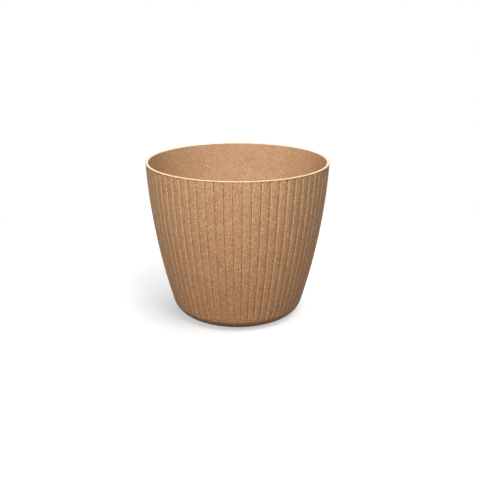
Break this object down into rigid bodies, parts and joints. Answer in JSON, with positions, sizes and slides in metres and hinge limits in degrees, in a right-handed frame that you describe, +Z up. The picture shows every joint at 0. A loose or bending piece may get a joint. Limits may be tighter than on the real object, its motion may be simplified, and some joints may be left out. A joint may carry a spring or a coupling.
{
  "type": "plant pot",
  "caption": "Round cover pot for plants, with upright boards all round the outside, a thin lip, a recessed base on a foot ring and lift-out drain plugs in the floor.",
  "frame": {"origin": "centre of the foot ring, on the surface that the pot stands on", "axes": "+Z up along the pot's axis, -Y towards the viewer of the picture, +X to the viewer's right"},
  "size_m": [0.24, 0.2398, 0.207],
  "materials": {
    "wood_fibre_plastic": "satin moulded plastic with fine lighter and darker wood fibre flecks",
    "soft_plug": "matt soft moulding"
  },
  "bodies": {
    "pot": {"pot": "wood_fibre_plastic"},
    "drain_plug_1": {"drain_plug_1": "soft_plug"},
    "drain_plug_2": {"drain_plug_2": "soft_plug"},
    "drain_plug_3": {"drain_plug_3": "soft_plug"},
    "drain_plug_4": {"drain_plug_4": "soft_plug"}
  },
  "joints": [
    {"name": "plug_1_lift", "type": "slide", "parent": "pot", "child": "drain_plug_1", "axis": [0, 0, 1], "range_m": [0, 0.21]},
    {"name": "plug_2_lift", "type": "slide", "parent": "pot", "child": "drain_plug_2", "axis": [0, 0, 1], "range_m": [0, 0.21]},
    {"name": "plug_3_lift", "type": "slide", "parent": "pot", "child": "drain_plug_3", "axis": [0, 0, 1], "range_m": [0, 0.21]},
    {"name": "plug_4_lift", "type": "slide", "parent": "pot", "child": "drain_plug_4", "axis": [0, 0, 1], "range_m": [0, 0.21]}
  ]
}
